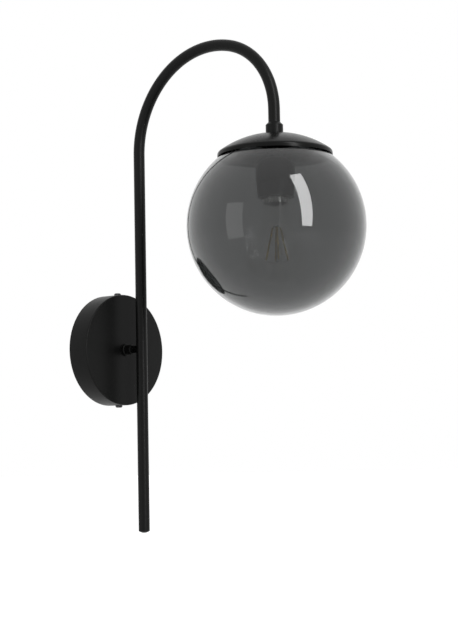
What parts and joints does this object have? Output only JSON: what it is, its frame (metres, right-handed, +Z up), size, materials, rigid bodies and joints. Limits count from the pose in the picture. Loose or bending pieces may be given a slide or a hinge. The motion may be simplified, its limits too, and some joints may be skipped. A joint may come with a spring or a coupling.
{
  "type": "wall sconce",
  "caption": "Black wall sconce with a round canopy, a gooseneck tube with a straight tail, and a shallow domed cap over a smoke glass globe.",
  "frame": {"origin": "centre of the canopy's back edge, on the wall plane, midway between the bracket's two slots", "axes": "+Z up, +Y into the wall, -Y into the room along the stand-off, X sideways"},
  "size_m": [0.18, 0.3256, 0.514],
  "materials": {
    "black_satin": "satin powder coat",
    "black_gloss": "semi-gloss enamel",
    "black_screw": "satin",
    "zinc_steel": "zinc plated",
    "smoke_glass": "clear smoke tint, polished",
    "black_rubber": "matt",
    "black_plastic": "moulded, semi-gloss",
    "porcelain": "glazed",
    "brass": "bright",
    "nickel": "nickel plated",
    "cap_insulator": "vitreous black",
    "solder": "dull tin",
    "lamp_glass": "clear, polished",
    "filament": "phosphor yellow",
    "lead_wire": "drawn",
    "white_plastic": "moulded",
    "brown_pvc": "smooth",
    "blue_pvc": "smooth",
    "earth_pvc": "smooth, yellow stripe"
  },
  "bodies": {
    "root": {"wall_bracket": "zinc_steel", "canopy": "black_satin", "canopy_side_screws": "black_screw", "wall_nipple": "black_satin", "nipple_washer": "zinc_steel", "nipple_nut": "zinc_steel", "standoff_sleeve": "black_satin", "gooseneck_tube": "black_satin", "tube_end_plug": "black_satin", "head_collar": "black_satin", "cap": "black_gloss", "head_nipple": "zinc_steel", "fitter_spacer": "zinc_steel", "globe_fitter": "black_satin", "fitter_ring": "black_satin", "head_washer": "zinc_steel", "head_nut": "zinc_steel", "lampholder_dome": "black_plastic", "lampholder_skirt": "black_plastic", "lampholder_core": "porcelain", "core_terminals": "brass", "core_terminal_screws": "zinc_steel", "screw_shell": "brass", "centre_contact": "brass", "terminal_block": "white_plastic", "terminal_sleeves": "brass", "terminal_screws": "zinc_steel", "terminal_block_screw": "zinc_steel", "earth_tag": "zinc_steel", "earth_washer": "zinc_steel", "earth_screw": "brass", "live_wire": "brown_pvc", "neutral_wire": "blue_pvc", "earth_wire": "earth_pvc"},
    "globe_gasket": {"globe_gasket": "black_rubber"},
    "globe": {"glass_globe": "smoke_glass"},
    "bulb": {"bulb_cap": "nickel", "bulb_insulator": "cap_insulator", "bulb_contact": "solder", "bulb_envelope": "lamp_glass", "bulb_stem": "lamp_glass", "bulb_filaments": "filament", "bulb_leads": "lead_wire"}
  },
  "joints": [
    {"name": "globe_drop", "type": "slide", "parent": "root", "child": "globe_gasket", "axis": [0, 0, -1], "range_m": [0, 0.006]},
    {"name": "globe_turn", "type": "hinge", "parent": "globe_gasket", "child": "globe", "pos_m": [0, -0.23561, 0.19], "axis": [0, 0, -1], "range_deg": [0, 540]},
    {"name": "bulb_unscrew", "type": "slide", "parent": "root", "child": "bulb", "axis": [0, 0, -1], "range_m": [0, 0.0145]}
  ],
  "couplings": [
    {"joint": "globe_drop", "follows": "globe_turn", "m_per_rad": 0.0006366}
  ]
}
